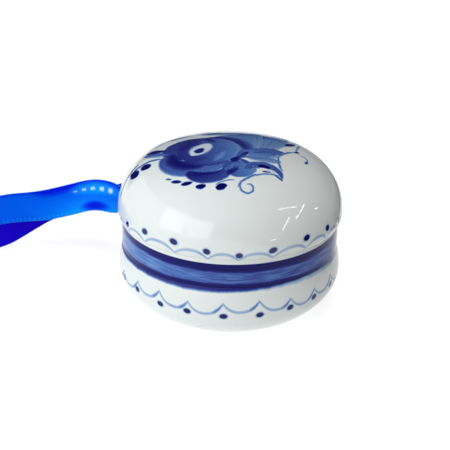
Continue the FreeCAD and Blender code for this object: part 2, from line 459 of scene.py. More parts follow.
# %% The petals
brush.arc((-3.2, -3.0), 6.7, -24, 118, 1.9, 1.26, across=-0.42, streak=0.16, soft=0.8)
brush.arc((-4.2, -3.0), 7.1, 2, 122, 0.8, 0.5, soft=0.9, streak=0.1, add=True)
brush.arc((-6.5, -2.3), 5.1, 74, 236, 2.85, 1.32, across=0.06, streak=0.1, soft=0.5)
brush.arc((-6.1, -4.6), 6.5, 175, 338, 2.7, 1.1, grow=-1.0, across=-0.12, along=-0.14, streak=0.16, soft=0.5)
brush.arc((-6.2, -4.4), 5.8, 170, 280, 1.9, 0.9, soft=1.7, streak=0.2, add=True)
brush.arc((-4.5, -9.7), 4.6, 206, 348, 1.75, 1.42, across=-0.22, along=-0.3, streak=0.14)
brush.stroke((-0.1, -10.4), 58, 1.9, 1.1, 0.95, streak=0.2)
brush.line((-8.6, -12.8), (-2.0, -12.6), 0.7, 0.45, bend=-0.5, soft=0.9, streak=0.1, add=True)
brush.stroke((2.2, -9.4), -42, 3.4, 1.5, 1.05, streak=0.14)
brush.stroke((2.0, -5.6), 58, 3.0, 1.3, 1.08, streak=0.14)
brush.stroke((2.1, -12.0), 14, 3.0, 2.3, 0.96, along=-0.2, streak=0.14)
brush.line((-0.7, -13.7), (1.4, -10.9), 0.85, 0.95, soft=1.0, streak=0.1, add=True)
brush.line((-1.7, -11.9), (0.9, -8.2), 0.75, 1.2, bend=0.3, streak=0.1)
brush.line((-0.9, -12.2), (0.8, -9.2), 0.16, 0.66, bend=-0.3, streak=0.0, soft=0.25)
print("touches so far:", brush.count)

# %% The heart of the bloom
brush.stroke((-4.6, -3.3), 8, 6.4, 6.4, 1.17, along=-0.36, streak=0.14, soft=0.5)
brush.arc((-4.6, -3.3), 6.75, 196, 318, 0.5, 1.5, streak=0.05, soft=0.6)
brush.arc((-4.6, -3.3), 6.1, -60, 75, 0.3, 0.62, streak=0.1, soft=0.4)
brush.stroke((-9.0, 1.0), 60, 4.2, 2.6, 0.3, soft=2.2, streak=0.1, add=True)
brush.stroke((-5.0, 2.8), -55, 2.6, 1.0, 0.6, soft=1.0, streak=0.0, add=True)
brush.stroke((-2.2, -6.8), 60, 2.4, 1.1, 0.7, soft=1.2, streak=0.1)
brush.stroke((-6.9, -7.6), 10, 2.4, 1.2, 0.16, soft=1.4, streak=0.1, add=True)
brush.stroke((-6.3, -2.9), 60, 3.4, 2.3, 0.1, soft=0.7, streak=0.05)
brush.stroke((-6.5, -3.6), 58, 1.35, 1.08, 1.85, soft=0.5, streak=0.0)
print("touches so far:", brush.count)

# %% [markdown]
# ### The leaves
#
# The leaves fan out to the right from the dark place where they meet. Pale touches give their bodies, and thin dark or
# nearly clear ones their edges and the gaps between them. A painter would leave a gap bare. Here a nearly clear touch
# is laid over the dark one, because what is painted last covers what is below it.

# %% Leaf bodies and their edges
brush.stroke((6.6, -5.4), 6, 3.7, 1.3, 0.66, streak=0.36, soft=0.9)
brush.stroke((6.7, -3.6), 18, 4.6, 2.0, 0.98, across=0.1, along=0.1, streak=0.2)
brush.stroke((6.6, -7.0), -3, 3.7, 1.4, 0.74, across=0.2, streak=0.3, soft=0.6)
brush.line((3.0, -6.5), (7.5, -5.5), 0.16, 0.4, soft=0.25)
brush.line((2.9, -7.4), (6.5, -8.0), 0.3, 0.22, bend=-0.2, soft=0.3)
brush.line((0.9, -7.6), (3.4, -4.5), 0.42, 1.45, streak=0.1)
brush.line((1.0, -7.7), (4.5, -5.8), 0.24, 1.45, bend=0.15, soft=0.3)
brush.line((1.6, -7.1), (3.5, -6.9), 0.24, 1.4, soft=0.25)
brush.line((1.9, -7.8), (4.3, -10.7), 0.55, 1.2, bend=0.2, streak=0.15)
brush.line((1.5, -8.2), (2.7, -9.8), 0.16, 0.35, soft=0.25)
brush.line((4.0, -4.9), (9.6, -3.6), 0.3, 0.5, bend=0.5, soft=0.5, streak=0.1, add=True)
brush.line((4.0, -7.4), (8.6, -6.9), 0.3, 0.45, bend=0.35, soft=0.5, streak=0.1, add=True)
brush.line((1.4, -7.7), (3.9, -8.9), 0.22, 1.4, bend=0.1, soft=0.3, streak=0.1)
brush.line((2.2, -7.0), (5.4, -6.4), 0.2, 1.2, bend=0.1, soft=0.3, streak=0.1)
brush.stroke((0.8, -8.0), 70, 1.25, 0.95, 2.1, streak=0.0, soft=0.7)
brush.stroke((3.0, -5.2), 60, 1.0, 0.6, 1.7, streak=0.0, soft=0.6)
print("touches so far:", brush.count)

# %% The bud below the leaves
brush.arc((6.3, -13.0), 3.75, -14, 158, 1.05, 1.1, across=-0.1, taper=0.4, streak=0.16, soft=0.35)
brush.line((4.0, -10.4), (6.2, -10.2), 0.7, 1.0, streak=0.1)
brush.stroke((6.55, -10.0), -6, 1.35, 0.68, 2.6, streak=0.0)
brush.arc((6.3, -13.5), 2.9, 10, 95, 0.2, 0.25, streak=0.0, soft=0.25)
brush.stroke((7.1, -11.75), 10, 0.95, 0.34, 2.0, streak=0.0, soft=0.3)
brush.line((7.8, -11.9), (10.1, -13.8), 0.36, 1.3, bend=0.2, along=0.3, streak=0.1, soft=0.3)
print("touches so far:", brush.count)

# %% [markdown]
# ### The curls
#
# A curl is drawn with the tip of a thin brush, at nearly one width from end to end. A curve object could carry it, but
# an arc in the same field as the petals lies under the glaze with them, and needs no mesh of its own.

# %% Curls
curl = {"streak": 0.15, "soft": 0.25, "blunt": 0.25}
brush.arc((8.6, -20.3), 7.95, 82, 156, 0.33, 0.95, **curl)
brush.arc((3.3, -16.9), 1.22, 140, 470, 0.32, 0.95, grow=-0.42, **curl)
brush.line((10.3, -10.6), (9.7, -5.0), 0.34, 0.95, bend=0.35, **curl)
brush.line((9.7, -5.2), (13.4, -0.3), 0.42, 0.85, bend=0.5, **curl)
brush.arc((13.3, -3.4), 2.5, 78, -14, 0.26, 0.85, **curl)
brush.line((13.7, 0.0), (14.9, 6.6), 0.3, 0.8, bend=0.2, **curl)
brush.line((11.2, 1.4), (13.0, 6.4), 0.16, 0.5, **curl)
brush.line((-3.0, -16.5), (0.8, -15.1), 0.3, 0.8, bend=0.3, **curl)
brush.line((-14.2, -4.6), (-20.4, -4.0), 0.5, 1.0, bend=-0.5, **curl)
brush.line((-19.2, -2.1), (-22.7, -5.5), 0.5, 1.45, bend=-0.6, **curl)
brush.line((-12.8, -3.2), (-18.6, 0.8), 1.0, 1.0, bend=0.3, across=-0.25, streak=0.2)
brush.line((-13.4, -4.4), (-18.6, -0.8), 0.24, 0.45, **curl)
print("touches so far:", brush.count)

# %% [markdown]
# ### The dots and the dome's finish
#
# Dots are pressed on with a full brush, so they are short, thick touches without streaks, and one table lists them.
# Then the border joins the rose: where both lie, the heavier load wins. A fine grain keeps the washes from looking
# printed.

# %% Dots
for at, turn, half, wide, load in (
    ((-12.3, -12.85), -30, 0.72, 0.32, 1.7),
    ((-10.7, -14.15), -20, 1.15, 0.45, 2.4),
    ((-8.6, -15.25), -5, 1.25, 0.54, 2.7),
    ((-5.7, -16.6), 0, 1.05, 0.64, 2.7),
    ((-1.75, -17.05), 8, 1.25, 0.85, 2.7),
    ((-17.4, -5.5), -48, 1.4, 0.98, 2.6),
    ((-19.8, -5.3), -64, 1.8, 0.88, 2.4),
    ((-15.9, 0.4), -30, 2.4, 0.95, 2.2),
    ((12.5, 4.2), 58, 2.2, 0.78, 1.8),
    ((13.7, -0.1), 50, 0.75, 0.55, 1.6),
    ((15.5, -4.3), 62, 0.85, 0.42, 1.4),
):
    brush.stroke(at, turn, half, wide, load, streak=0.0, soft=0.4)
print("touches on the dome:", brush.count)

# %% The dome's border and glaze
azimuth = y.math("ARCTAN2", x)
phase = azimuth.fused(SCALLOPS / (2 * math.pi), -0.83) - swing(azimuth, 6, 252, 0.08)
line_z, dot_z = 20.7 - swing(azimuth, 4, 275, 0.3), 22.6 - swing(azimuth, 4, 275, 0.9)
upper_load = border(z, phase, line_z, rise=1.5, dot_z=dot_z, seed=1.3, pale=0.42, pressed=0.25)
grain = vector(x * 2.6, y * 2.6, 0.0).noise(3.0)
load = (brush.load * grain.fused(0.5, 0.83)).at_least(upper_load) + specks(x, y, z)
feed(cobalt(load), shader, "Base Color")
glaze(x, y, z, shader)
print(upper_material.name, "has", len(tree.nodes), "nodes")

# %% [markdown]
# ## The band
#
# The band is a streaky wash between two dark lines, drawn with the brush held still and the body turning. Such marks
# run round the body, so they are noise that is stretched along the azimuth, and not single touches. The top line dips
# at the front, where the dome's white lip hangs over it. The glaze lies thin in this groove, and its gloss is weak.

# %% The band's wash and lines
BAND_TOP, BAND_LIP, BAND_BOTTOM = 19.2, 20.36, 15.2
BAND_GLOSS = 0.15
ring_material, tree, shader = new_material("cobalt_band")
x, y, z = place(tree)
azimuth = y.math("ARCTAN2", x)
wash = vector(azimuth * 5.5, z * 2.2, 0.0).noise(4.0)
streaks = vector(azimuth * 1.5, z * 9.0, 5.0).noise(2.0)
wobble = vector(azimuth * 4.0, 0.0, 3.0).noise(2.0) - 0.5
load = (wash - 0.5).fused(1.25, 0.86) + (streaks - 0.5) * 0.6 + swing(azimuth, 1, 300, 0.3)
lowered = z + swing(azimuth, 1, 275, 0.95).at_least(0.0)
front = swing(azimuth, 1, 275, 0.45).at_least(0.0)
top_edge = lowered + wobble * 0.6 + (streaks - 0.5) * 0.5 + front
load = (front.fused(2.4, streaks.fused(1.2, 0.95))).over(load, top_edge.step(BAND_TOP, 0.6))
bottom_edge = (z + wobble * 0.6) * -1.0
load = (z.fused(-0.9, 15.5) + streaks * 0.6).over(load, bottom_edge.step(-BAND_BOTTOM, 0.5))
load = (load * 0.0).over(load, lowered.step(BAND_LIP, 0.12))
feed(cobalt(load), shader, "Base Color")
glaze(x, y, z, shader, BAND_GLOSS)
print(ring_material.name, "has", len(tree.nodes), "nodes")

# %% [markdown]
# ## The lower shell
#
# The cup has the same border, hung the other way up. Cobalt ran from the band over the crease, most at the front and
# the left. It could be brushed on, but a run has no strokes, so a bleed fades downwards from the crease by a formula,
# and a darker pool lies in it. This darkening below the crease is partly that cobalt and partly painted shade in the
# crease. The pool is duller than the glaze, and the foot is bare where it stood in the kiln, so the roughness changes
# there.

# %% The cup's border, bleed and foot
BLEED_AND_SHADE_FROM, POOL_AND_SHADE_FROM, FOOT_EDGE = 13.75, 14.5, 0.35
BARE_ROUGHNESS, WET_GAIN, POOL_DULLNESS = 0.75, -0.72, 0.45
CUP_GLOSS = 0.25
lower_material, tree, shader = new_material("lower_porcelain")
x, y, z = place(tree)
azimuth = y.math("ARCTAN2", x)
phase = azimuth.fused(SCALLOPS / (2 * math.pi), -0.36) - swing(azimuth, 4, 203, 0.06)
line_z, dot_z = 11.1 - swing(azimuth, 7, 255, 0.35), 9.0 - swing(azimuth, 2, 268, 0.6)
lower_load = border(z, phase, line_z, rise=-2.1, dot_z=dot_z, seed=2.1, pale=0.5, pressed=1.0)
# Below the crease the colour darkens downwards from the band: partly the cobalt run, partly painted shade in the
# crease.
run = vector(azimuth * 11.0, 0.0, 8.0).noise(3.0)
bleed_and_crease_shade = (z - BLEED_AND_SHADE_FROM + run * 0.7).math("MULTIPLY", 0.5, clamp=True)
thick = swing(azimuth, 1, 262, 1.0).at_least(0.0) ** 6.0 * 0.5 + swing(azimuth, 1, 225, 0.7).at_least(0.0)
pool_and_crease_shade = (z - POOL_AND_SHADE_FROM + run * 0.5 + thick).math("MULTIPLY", 1.6, clamp=True)
load = lower_load.at_least(bleed_and_crease_shade * 1.3 + pool_and_crease_shade * 1.5) + specks(x, y, z)
glazed = z.step(FOOT_EDGE, 0.3)
feed(cobalt(load), shader, "Base Color")
glaze(x, y, z, shader, CUP_GLOSS)
feed(glazed.fused(WET_GAIN, BARE_ROUGHNESS) + pool_and_crease_shade * POOL_DULLNESS, shader, "Roughness")
print(lower_material.name, "has", len(tree.nodes), "nodes")

# %% Painting on the castings
for node, material in (
    ("upper_shell", upper_material),
    ("filling_ring", ring_material),
    ("lower_shell", lower_material),
):
    frame["nodes"][node].data.materials.clear()
    frame["nodes"][node].data.materials.append(material)
    for polygon in frame["nodes"][node].data.polygons:
        polygon.use_smooth = True
print("painted", upper_material.name, ring_material.name, lower_material.name)

# %% [markdown]
# ## The ribbon's route
#
# One ribbon goes in at one hole and out at the other, and its ends are tied. It could be draped by a cloth simulation,
# but the loop has to lie as it does here, and to match the plain solids that it replaces. So the points are those of
# the solids, in millimetres from the middle between the two holes' mouths, and a smooth curve follows them.

# %% The holes' mouths
LIP_GAP = 0.35
HOLE_SPACING = 9.6
joint = frame["joints"][0]
across_holes = Vector(joint["axis"]).normalized()
outward = Vector((-across_holes.y, across_holes.x, 0))
mouths_middle = Vector(joint["pos_m"]) / MM - outward * LIP_GAP
near_mouth = (mouths_middle - across_holes * (HOLE_SPACING / 2)) * MM
far_mouth = (mouths_middle + across_holes * (HOLE_SPACING / 2)) * MM
print("mouths at", [tuple(round(c / MM, 1) for c in mouth) for mouth in (near_mouth, far_mouth)])

# %% The points of the route
KNOT_REACH, KNOT_ASIDE, KNOT_LENGTH, KNOT_Z = 58.0, 4.0, 7.0, 4.3
NEAR_ROUTE = [
    (-7.6, -1.2, 18.8),
    (-12.6, 1.6, 18.4),
    (-18.3, 3.5, 16.0),
    (-25.5, 4.7, 13.7),
    (-33.6, 5.7, 12.7),
    (-42.2, 5.6, 10.6),
    (-50.4, 4.2, 6.8),
    (-KNOT_REACH, KNOT_ASIDE - 1.0, KNOT_Z),
]
FAR_ROUTE = [
    (-2.8, 7.6, 16.6),
    (-9.0, 11.3, 13.7),
    (-16.4, 14.2, 11.4),
    (-24.6, 15.0, 9.7),
    (-31.2, 12.9, 6.6),
    (-37.2, 9.2, 3.8),
    (-44.8, 7.4, 3.7),
    (-52.2, 6.0, 3.9),
    (-KNOT_REACH, KNOT_ASIDE + 1.0, KNOT_Z),
]
LONG_TAIL_ROUTE = [
    (-KNOT_REACH - KNOT_LENGTH, KNOT_ASIDE + 1.0, KNOT_Z),
    (-70.4, 6.3, 4.0),
    (-77.0, 9.6, 3.7),
    (-83.0, 11.4, 3.8),
]
SHORT_TAIL_ROUTE = [
    (-KNOT_REACH - KNOT_LENGTH, KNOT_ASIDE - 1.0, KNOT_Z),
    (-70.2, 2.2, 4.0),
    (-76.0, -1.4, 3.7),
    (-80.4, -2.8, 3.8),
]
print("points:", [len(route) for route in (NEAR_ROUTE, FAR_ROUTE, LONG_TAIL_ROUTE, SHORT_TAIL_ROUTE)])

# %% A smooth curve along the points


def from_mouths(point):
    """A point of a route as a place in the scene."""
    return Vector((mouths_middle.x + point[0], mouths_middle.y + point[1], point[2])) * MM


def plain_mesh(carrier):
    """What an object's curve or modifiers make, as a plain mesh. The object itself goes."""
    bpy.context.view_layer.update()
    mesh = bpy.data.meshes.new_from_object(carrier.evaluated_get(bpy.context.evaluated_depsgraph_get()))
    bpy.data.objects.remove(carrier)
    return mesh


def spline_points(controls, spacing):
    """Points along a smooth curve through the route, evenly spaced."""
    curve = bpy.data.curves.new("route", "CURVE")
    curve.dimensions = "3D"
    spline = curve.splines.new("NURBS")
    spline.points.add(len(controls) - 1)
    for point, place_at in zip(spline.points, controls):
        point.co = (*place_at, 1.0)
    spline.order_u = 3
    spline.use_endpoint_u = True
    spline.resolution_u = 24
    mesh = plain_mesh(put("route", curve))
    points = np.array([v.co[:] for v in mesh.vertices])
    bpy.data.curves.remove(curve)
    bpy.data.meshes.remove(mesh)
    steps = np.concatenate([[0], np.cumsum(np.linalg.norm(np.diff(points, axis=0), axis=1))])
    even = np.linspace(0, steps[-1], max(8, int(round(steps[-1] / spacing))))
    return np.column_stack([np.interp(even, steps, points[:, k]) for k in range(3)]), even


IN_HOLE, PAST_LIP = 2.2, 0.8
near_controls = [near_mouth - outward * IN_HOLE * MM, near_mouth + outward * PAST_LIP * MM]
near_controls += [from_mouths(point) for point in NEAR_ROUTE]
far_controls = [far_mouth - outward * IN_HOLE * MM, far_mouth + outward * PAST_LIP * MM]
far_controls += [from_mouths(point) for point in FAR_ROUTE]
long_controls = [from_mouths(point) for point in LONG_TAIL_ROUTE]
short_controls = [from_mouths(point) for point in SHORT_TAIL_ROUTE]
print("the near strand starts at", tuple(round(c / MM, 1) for c in near_controls[0]))

# %% [markdown]
# ## The woven strip
#
# A strip of ribbon keeps its width, so where it is drawn through a hole or into the knot it falls into pleats, and
# elsewhere it lies flat. A curve with a bevel would have one section all along. Here the mesh is built row by row, so
# that the section can change. Each point keeps how far along and across the strip it is, for the weave to follow.

# %% The strip's middle surface
RIBBON_WIDTH, GATHERED_WIDTH = 7.0, 2.3
PLEATS, PLEAT_DEPTH = 2.5, 0.75
RIPPLE_HEIGHT, RIPPLE_LENGTH = 0.10, 4.2
ROW_SPACING = 0.4
COLUMNS = 25
SLANT_FROM = 0.6
over_width = np.linspace(-1, 1, COLUMNS)


def unit(vectors):
    """Vectors of length 1."""
    return vectors / np.maximum(np.linalg.norm(vectors, axis=-1, keepdims=True), 1e-12)


def smooth(share):
    """An even rise from 0 to 1 without a corner at either end."""
    share = np.clip(share, 0, 1)
    return share * share * (3 - 2 * share)


def strip_surface(path, along, gathered, tilts, slant):
    """The middle surface of a strip along a path, in rows across it. gathered gives the lengths over which its start
    and end are drawn together, tilts its lean from upright, in degrees, at evenly spaced places, and slant how far its
    cut end is out of square."""
    total = along[-1]
    tangent = unit(np.gradient(path, axis=0))
    upright = unit(np.array([0, 0, 1.0]) - tangent * tangent[:, 2:3])
    sideways = np.cross(tangent, upright)
    lean = np.radians(np.interp(along / total, np.linspace(0, 1, len(tilts)), tilts))[:, None]
    wide = upright * np.cos(lean) + sideways * np.sin(lean)
    face = np.cross(tangent, wide)
    drawn = np.zeros_like(along)
    if gathered[0]:
        drawn = np.maximum(drawn, 1 - smooth(along / gathered[0]))
    if gathered[1]:
        drawn = np.maximum(drawn, 1 - smooth((total - along) / gathered[1]))
    c = over_width[None, :]
    width = (RIBBON_WIDTH * (1 - drawn) + GATHERED_WIDTH * drawn) * MM
    depth = PLEAT_DEPTH * MM * drawn
    ripple = RIPPLE_HEIGHT * MM * np.sin(along / (RIPPLE_LENGTH * MM) + 1.0)[:, None] * c**2
    share = smooth((along / total - SLANT_FROM) / (1 - SLANT_FROM))[:, None]
    offset_wide = width[:, None] / 2 * c
    offset_face = depth[:, None] * np.cos(c * math.pi * PLEATS) + ripple
    offset_along = share * slant * MM * (c + 1) / 2
    return (
        path[:, None, :]
        + offset_wide[..., None] * wide[:, None, :]
        + offset_face[..., None] * face[:, None, :]
        + offset_along[..., None] * tangent[:, None, :]
    )


print("a flat row has", COLUMNS, "points over", RIBBON_WIDTH, "mm")

# %% A closed strip with its own measures
THICK = 0.3 * MM


def keep_values(mesh, **values):
    """Stores a number for each point of a mesh, under each name."""
    for label, numbers in values.items():
        attribute = mesh.attributes.new(label, "FLOAT", "POINT")
        attribute.data.foreach_set("value", numbers.astype(np.float32).ravel())


def ribbon(name, controls, gathered, tilts, shiny, slant=0.0, hump=0.0):
    """A closed strip along a route. shiny tells which of its faces is the satin one, and hump marks the strand that
    rises in a hump by the body, where the satin's painted sheen, shade and glints go. Gives the piece, its path and its
    two edges."""
    path, along = spline_points(controls, ROW_SPACING * MM)
    middle = strip_surface(path, along, gathered, tilts, slant)
    normal = unit(np.cross(np.gradient(middle, axis=0), np.gradient(middle, axis=1)))
    loop = np.concatenate([middle + normal * THICK / 2, (middle - normal * THICK / 2)[:, ::-1]], axis=1)
    rows, around = loop.shape[:2]
    index = np.arange(rows * around).reshape(rows, around)
    following = np.roll(index, -1, axis=1)
    quads = np.stack([index[:-1], following[:-1], following[1:], index[1:]], axis=-1).reshape(-1, 4)
    caps = [list(index[0][::-1]), list(index[-1])]
    mesh = bpy.data.meshes.new(name)
    mesh.from_pydata(loop.reshape(-1, 3).tolist(), [], quads.tolist() + caps)
    there_and_back = np.concatenate([over_width, over_width[::-1]])
    keep_values(
        mesh,
        along=np.repeat(along[:, None], around, axis=1) / MM,
        across=np.repeat(there_and_back[None, :], rows, axis=0) * RIBBON_WIDTH / 2,
        outside=np.repeat(np.repeat([shiny, 1 - shiny], COLUMNS)[None, :], rows, axis=0),
        hump=np.full((rows, around), hump),
    )
    for polygon in mesh.polygons:
        polygon.use_smooth = len(polygon.vertices) == 4
    mesh.validate()
    print(f"{name}: {along[-1] / MM:.1f} mm, {len(mesh.polygons)} faces")
    return put(name, mesh), path, [middle[:, 0], middle[:, -1]]


# %% The two strands and the two tails
STRAND_GATHERED, TAIL_GATHERED = (9 * MM, 8 * MM), (8 * MM, 0)
NEAR_TILTS = (0, 10, 24, 14, 4, 0, 0, 0, 0)
FAR_TILTS = (0, -20, -36, -34, -14, 0, 0, 0, 0)
TAIL_TILTS = (0, 0, 0)
CUT_SLANT = 3.0
near, near_path, near_edges = ribbon("near_strand", near_controls, STRAND_GATHERED, NEAR_TILTS, 0, hump=1.0)
far, far_path, far_edges = ribbon("far_strand", far_controls, STRAND_GATHERED, FAR_TILTS, 1)
long_tail, _, long_edges = ribbon("long_tail", long_controls, TAIL_GATHERED, TAIL_TILTS, 1, CUT_SLANT)
short_tail, _, short_edges = ribbon("short_tail", short_controls, TAIL_GATHERED, TAIL_TILTS, 0, CUT_SLANT)

# %% [markdown]
# ## The knot
#
# The two strands are tied together in an overhand knot. Tying it strand by strand would need a simulation, and a plain
# ball wouldn't show how it is tied. An overhand knot with its ends joined is a trefoil, which has a formula. So a
# gathered section runs along a trefoil that is drawn tight enough to close its own hole.

# %% A trefoil of gathered ribbon
KNOT_HALF, KNOT_RADIUS, KNOT_WAVE = 2.1, 1.75, 0.95
SECTION_HALF_WIDTH, SECTION_HALF_THICKNESS = 2.15, 1.2
KNOT_PLEATS, KNOT_PLEAT_DEPTH = 7, 0.06
KNOT_ROWS, KNOT_COLUMNS = 240, 24
KNOT_STRIP = 60
OUTWARD_BIAS = 0.6


def around_once(count):
    """Angles of a full turn, without the last, which would meet the first."""
    return np.linspace(0, 2 * math.pi, count + 1)[:-1]


def knot():
    """A trefoil drawn tight, lying along the strands."""
    t = around_once(KNOT_ROWS)
    reach = KNOT_RADIUS + KNOT_WAVE * np.cos(3 * t)
    path = np.column_stack([KNOT_HALF * np.sin(3 * t), reach * np.cos(2 * t), reach * np.sin(2 * t)])
    middle = from_mouths((-KNOT_REACH - KNOT_LENGTH / 2, KNOT_ASIDE, KNOT_Z))
    tangent = unit(np.roll(path, -1, axis=0) - np.roll(path, 1, axis=0))
    out = path.copy()
    out[:, 0] *= OUTWARD_BIAS
    out = unit(out - tangent * (out * tangent).sum(1, keepdims=True))
    side = np.cross(tangent, out)
    a = around_once(KNOT_COLUMNS)
    pleat = 1 + KNOT_PLEAT_DEPTH * np.cos(KNOT_PLEATS * a)
    sideways = (SECTION_HALF_WIDTH * np.cos(a) * pleat)[None, :, None]
    outwards = (SECTION_HALF_THICKNESS * np.sin(a) * pleat)[None, :, None]
    loop = path[:, None] + side[:, None] * sideways + out[:, None] * outwards
    loop = loop * MM + np.array(middle)
    rows, around = loop.shape[:2]
    index = np.arange(rows * around).reshape(rows, around)
    following = np.roll(index, -1, 1)
    quads = np.stack([index, following, np.roll(following, -1, 0), np.roll(index, -1, 0)], -1).reshape(-1, 4)
    mesh = bpy.data.meshes.new("knot")
    mesh.from_pydata(loop.reshape(-1, 3).tolist(), [], quads.tolist())
    keep_values(
        mesh,
        along=np.repeat(np.linspace(0, KNOT_STRIP, rows)[:, None], around, 1),
        across=np.repeat((a * 2)[None], rows, 0),
        outside=np.ones((rows, around)),
    )
    for polygon in mesh.polygons:
        polygon.use_smooth = True
    return put("knot", mesh)


knot_piece = knot()
low, high = np.array(knot_piece.bound_box).min(0), np.array(knot_piece.bound_box).max(0)
print("knot box", np.round(low / MM, 1), np.round(high / MM, 1))

# %% [markdown]
# ## Satin
#
# Satin ribbon is a fine twill with a bright face and a dull one. Threads could be modelled, but they are smaller than a
# pixel here, so the weave is a formula of the along and across values that the strip keeps, and feeds its colour and
# its Bump. Satin turns light or dark with each bend, and here that light and shade is painted into its colour: a
# painted brightness that is lighter towards the lower edge and darker along the top one, soft patches of painted sheen
# and painted shade where it humps by the body, and painted glints. The dull face's violet is painted shade.

# %% The strip's values as fields
satin, tree, shader = new_material("satin")


def attribute_field(name):
    """A value that the mesh keeps for each point."""
    reader = tree.nodes.new("ShaderNodeAttribute")
    reader.attribute_name = name
    return Field(tree, reader.outputs["Fac"])


along_field, across_field, outside, hump = map(attribute_field, ("along", "across", "outside", "hump"))


def patch(at_along, at_across, long, wide):
    """A soft patch of painted sheen and shade: one at a place on the ribbon, falling to nothing over an ellipse, in
    millimetres.
    """
    u, v = (along_field - at_along) / long, (across_field - at_across) / wide
    return (1.0 - u * u - v * v).at_least(0.0)


print("the satin reads", sum(node.bl_idname == "ShaderNodeAttribute" for node in tree.nodes), "values")

# %% Weave and brightness
TWILL_ALONG, TWILL_ACROSS = 0.75, 0.8
EDGE_SHEEN_SPACING = 1.15
FULL_TURN = 2 * math.pi
DARKEST = 0.06
twill = (along_field * (FULL_TURN / TWILL_ALONG) - across_field * (FULL_TURN / TWILL_ACROSS)).math("SINE")
yarn = vector(along_field * 2.2, across_field * 7.0, 0.0).noise(3.0)
away = along_field.step(26.0, 12.0)
# The brightness lit is painted light and shade: lighter towards the lower edge near the body, darker along the top
# edge.
lit = across_field * away.fused(0.045, -0.045) + away.fused(-0.04, 0.405) - across_field.step(2.95, 0.9) * 0.14
# Painted sheen on the crown of the hump, and painted shade low in the hump and along the top edge where the strand
# rises.
painted_crown_sheen, painted_hollow_shade, painted_fold_shade = patch(12.5, 1.8, 8.0, 1.9), patch(13.0, -2.5, 5.2, 1.5), patch(23.5, 3.2, 6.5, 1.8)
lit = lit + hump * (painted_crown_sheen * 0.26 - painted_hollow_shade**1.3 * 0.46 - painted_fold_shade * 0.2)
# Painted sheen in spots along the lower edge, stronger away from the body, where that edge also gets a little painted
# shade.
tight = (along_field * (FULL_TURN / EDGE_SHEEN_SPACING)).math("COSINE").step(-0.2, 0.9)
tight = tight * (across_field * -1.0).step(2.5, 0.5)
lit = lit + tight * away.fused(0.09, 0.03) - (across_field * -1.0).step(2.3, 0.7) * away * 0.05
lit = (lit + twill * 0.04 + (yarn - 0.5) * 0.16).at_least(DARKEST)
print("a rib of the weave is", TWILL_ALONG, "mm along the strip")

# %% Glints, colour and sheen
GLINT_SPACING, GLINTS_AT, GLINTS_REACH = 2.35, 13.6, 5.6
DULL_ROUGHNESS, SHINE = 0.75, -0.35
# The glints are painted highlights in the base colour, in a row along the hump.
marks = along_field.fused(FULL_TURN / GLINT_SPACING, 1.3).math("COSINE").step(0.2, 0.8)
marks = marks * (1.0 - abs(along_field - GLINTS_AT).step(GLINTS_REACH, 1.5))
height = abs(across_field - 2.0 + yarn * 0.9) + along_field.fused(0.05, -0.45)
glint = hump * outside * marks * (1.0 - height.step(0.5, 0.5)) * yarn.step(0.42, 0.2)
# The satin face's green and blue follow the painted brightness; the dull face's violet, without green, is painted
# shade.
red = glint * 0.7 + (1.0 - outside) * 0.015
green = outside * lit**2.2 + glint * 0.6
blue = outside * lit.fused(0.62, -0.14) + 0.78 + (yarn - 0.5) * 0.15
feed(lit.node("CombineColor", 0, Red=red, Green=green, Blue=blue), shader, "Base Color")
bump = twill.node("Bump", 0, Strength=0.3, Distance=0.00005, Height=twill + yarn * 1.5)
feed(bump, shader, "Normal")
feed(outside.fused(SHINE, DULL_ROUGHNESS), shader, "Roughness")
shader.inputs["Specular IOR Level"].default_value = 0.15
shader.inputs["Specular Tint"].default_value = (0.0, 0.25, 1.0, 1)
for piece in (near, far, long_tail, short_tail, knot_piece, frame["nodes"]["ribbon_bight"]):
    piece.data.materials.clear()
    piece.data.materials.append(satin)
print(satin.name, "has", len(tree.nodes), "nodes")

# %% [markdown]
# ## The selvage
#
# The weft turns back at each edge of the ribbon and leaves a row of fine loops. They could be set one by one, but they
# repeat along a path, so Geometry Nodes set them: the edge becomes a curve, points are spaced along it, and each gets a
# small ball. The export drops instances, so the tree makes them real, and they are joined to the strip as a plain mesh.

# %% A tree that sets loops along an edge
LOOP_SPACING, LOOP_RADIUS = 0.62, 0.2
EDGE_ACROSS = -3.3
selvage = bpy.data.node_groups.new("selvage", "GeometryNodeTree")
selvage.interface.new_socket("Geometry", in_out="INPUT", socket_type="NodeSocketGeometry")
for label, value in (("Spacing", LOOP_SPACING * MM), ("Loop", LOOP_RADIUS * MM)):
    selvage.interface.new_socket(label, in_out="INPUT", socket_type="NodeSocketFloat").default_value = value
selvage.interface.new_socket("Geometry", in_out="OUTPUT", socket_type="NodeSocketGeometry")
source, target = selvage.nodes.new("NodeGroupInput"), selvage.nodes.new("NodeGroupOutput")


def step(kind, **links):
    """One node of the tree, with sockets linked to its named inputs."""
    made = selvage.nodes.new("GeometryNode" + kind)
    for name, socket in links.items():
        selvage.links.new(socket, made.inputs[name.replace("_", " ")])
    return made


